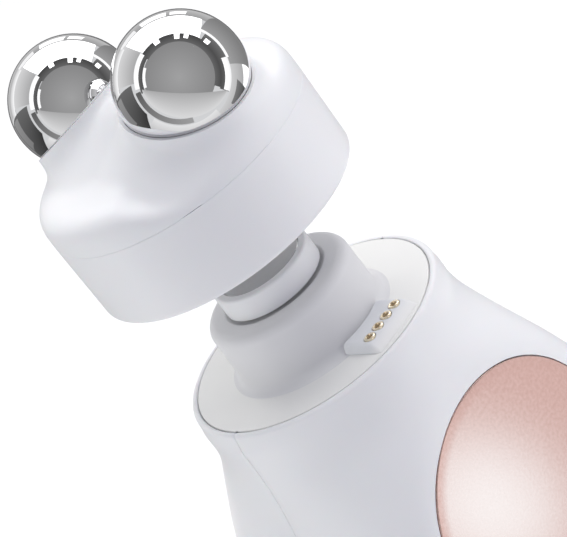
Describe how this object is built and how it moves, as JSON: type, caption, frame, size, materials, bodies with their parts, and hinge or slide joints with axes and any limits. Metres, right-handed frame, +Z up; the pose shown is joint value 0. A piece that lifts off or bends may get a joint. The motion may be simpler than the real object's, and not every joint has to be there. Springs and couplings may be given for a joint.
{
  "type": "facial toning device",
  "caption": "Hand-held facial toning device: flared handle with metal discs in its faces, a pulsing shaft in a soft boot, and a lift-off attachment with two rolling balls.",
  "frame": {"origin": "middle of the flat underside, on the axis of the round head", "axes": "+Z up along the head's axis, X across the two flanks with the buttons at +X, Y through the two disc faces with the contacts at -Y"},
  "size_m": [0.085, 0.0562, 0.1633],
  "materials": {
    "shell": "fine satin near-white plastic",
    "plate": "smooth warm white plastic",
    "gasket": "matte dark elastomer",
    "boot": "soft matte grey silicone",
    "foot": "soft matte grey silicone",
    "disc": "satin rose-gold anodised",
    "gold": "gold plated",
    "ball": "mirror polished plating",
    "steel": "turned steel",
    "frame": "moulded dark engineering plastic",
    "bush": "moulded bearing plastic",
    "board": "glass-fibre board",
    "switch": "moulded black plastic",
    "cell": "sleeved cell",
    "magnet": "nickel plated",
    "bezel": "satin light grey plastic",
    "light": "clear light pipe"
  },
  "bodies": {
    "handle": {"front_shell": "shell", "rear_shell": "shell", "front_disc": "disc", "rear_disc": "disc", "face_plate": "plate", "plate_gasket": "gasket", "boot": "boot", "contact_block": "plate", "contact_sleeves": "gold", "chassis": "frame", "motor": "steel", "crank_bearing": "steel", "guide_bush": "bush", "battery_cell": "cell", "battery_cradle": "frame", "main_board": "board", "charging_socket": "switch", "control_bezel": "bezel", "tact_switches": "switch", "button_board": "board", "indicator_lights": "light", "shell_screws": "steel", "base_foot": "foot"},
    "percussion": {"percussion_shaft": "steel", "collar": "shell", "collar_magnet": "magnet"},
    "attachment": {"skirt": "shell", "lid": "shell", "inner_cup": "bezel", "cup_magnet": "magnet", "contact_carrier": "bezel", "contact_pads": "gold", "skirt_screws": "steel", "front_axle": "steel", "rear_axle": "steel"},
    "crank": {"crank": "steel"},
    "contact_one": {"contact_1": "gold"},
    "contact_two": {"contact_2": "gold"},
    "contact_three": {"contact_3": "gold"},
    "contact_four": {"contact_4": "gold"},
    "power_key": {"power_button": "shell"},
    "mode_key": {"mode_button": "shell"},
    "front_roller": {"front_ball": "ball", "front_bush": "bush"},
    "rear_roller": {"rear_ball": "ball", "rear_bush": "bush"}
  },
  "joints": [
    {"name": "percussion_stroke", "type": "slide", "parent": "handle", "child": "percussion", "axis": [0, 0, 1], "range_m": [0, 0.0015]},
    {"name": "crank_turn", "type": "hinge", "parent": "handle", "child": "crank", "pos_m": [0, 0.006, 0.066], "axis": [0, 1, 0], "continuous": true},
    {"name": "contact_one_press", "type": "slide", "parent": "handle", "child": "contact_one", "axis": [0, 0, 1], "range_m": [-0.0006, 0], "stiffness_N_per_m": 600, "springref_m": 0.0005},
    {"name": "contact_two_press", "type": "slide", "parent": "handle", "child": "contact_two", "axis": [0, 0, 1], "range_m": [-0.0006, 0], "stiffness_N_per_m": 600, "springref_m": 0.0005},
    {"name": "contact_three_press", "type": "slide", "parent": "handle", "child": "contact_three", "axis": [0, 0, 1], "range_m": [-0.0006, 0], "stiffness_N_per_m": 600, "springref_m": 0.0005},
    {"name": "contact_four_press", "type": "slide", "parent": "handle", "child": "contact_four", "axis": [0, 0, 1], "range_m": [-0.0006, 0], "stiffness_N_per_m": 600, "springref_m": 0.0005},
    {"name": "power_press", "type": "slide", "parent": "handle", "child": "power_key", "axis": [0.9511, 0, 0.309], "range_m": [-0.0005, 0], "stiffness_N_per_m": 2000, "springref_m": 0.0002},
    {"name": "mode_press", "type": "slide", "parent": "handle", "child": "mode_key", "axis": [0.9511, 0, 0.309], "range_m": [-0.0005, 0], "stiffness_N_per_m": 2000, "springref_m": 0.0002},
    {"name": "attachment_seat", "type": "slide", "parent": "handle", "child": "attachment", "axis": [0, 0, 1], "range_m": [-0.0277, 0.02]},
    {"name": "front_ball_roll", "type": "hinge", "parent": "attachment", "child": "front_roller", "pos_m": [0, -0.0158, 0.1513], "axis": [0, -0.342, 0.9397], "continuous": true},
    {"name": "rear_ball_roll", "type": "hinge", "parent": "attachment", "child": "rear_roller", "pos_m": [0, 0.0158, 0.1513], "axis": [0, 0.342, 0.9397], "continuous": true}
  ]
}
